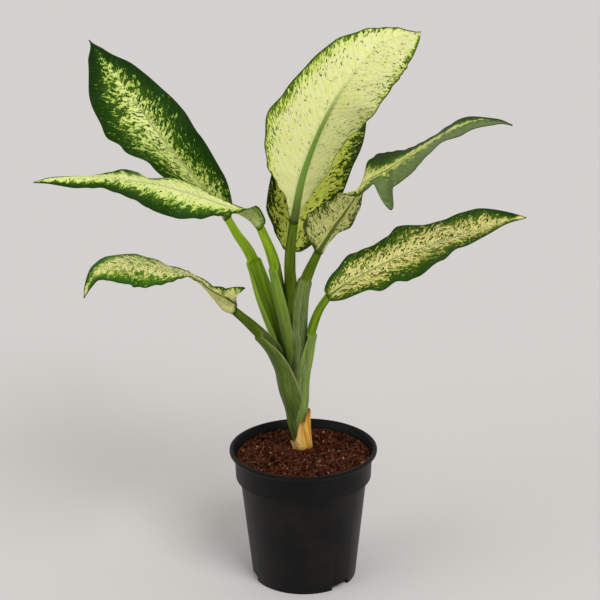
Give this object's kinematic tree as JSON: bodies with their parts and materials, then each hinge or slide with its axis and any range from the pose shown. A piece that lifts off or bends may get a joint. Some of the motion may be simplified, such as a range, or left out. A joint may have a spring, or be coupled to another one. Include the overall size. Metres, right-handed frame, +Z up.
{
  "type": "potted dieffenbachia",
  "caption": "Variegated dieffenbachia with broad waved leaves on sheathed stalks, growing from a short cane in a black plastic nursery pot filled with soil.",
  "frame": {"origin": "centre of the pot's flat underside, on the surface that it stands on", "axes": "+Z up along the pot's axis, -Y towards the viewer of the picture, +X to the viewer's right"},
  "size_m": [0.3774, 0.205, 0.4614],
  "materials": {
    "pot": "black satin polypropylene",
    "soil": "damp coarse coco peat",
    "cane": "pale green living stem",
    "dry_sheath": "golden dry papery leaf foot",
    "petiole": "smooth mid green leaf stalk",
    "blade": "satin dark green leaf with cream markings",
    "pale_blade": "satin pale yellow-green leaf with dark green margin"
  },
  "bodies": {
    "root": {"pot": "pot", "soil": "soil", "cane": "cane", "dry_sheath": "dry_sheath", "top_petiole": "petiole", "top_blade": "pale_blade", "back_petiole": "petiole", "back_blade": "blade", "left_petiole": "petiole", "left_blade": "blade", "back_left_petiole": "petiole", "back_left_blade": "blade", "right_petiole": "petiole", "right_blade": "blade", "low_right_petiole": "petiole", "low_right_blade": "blade", "low_left_petiole": "petiole", "low_left_blade": "blade"}
  },
  "joints": []
}
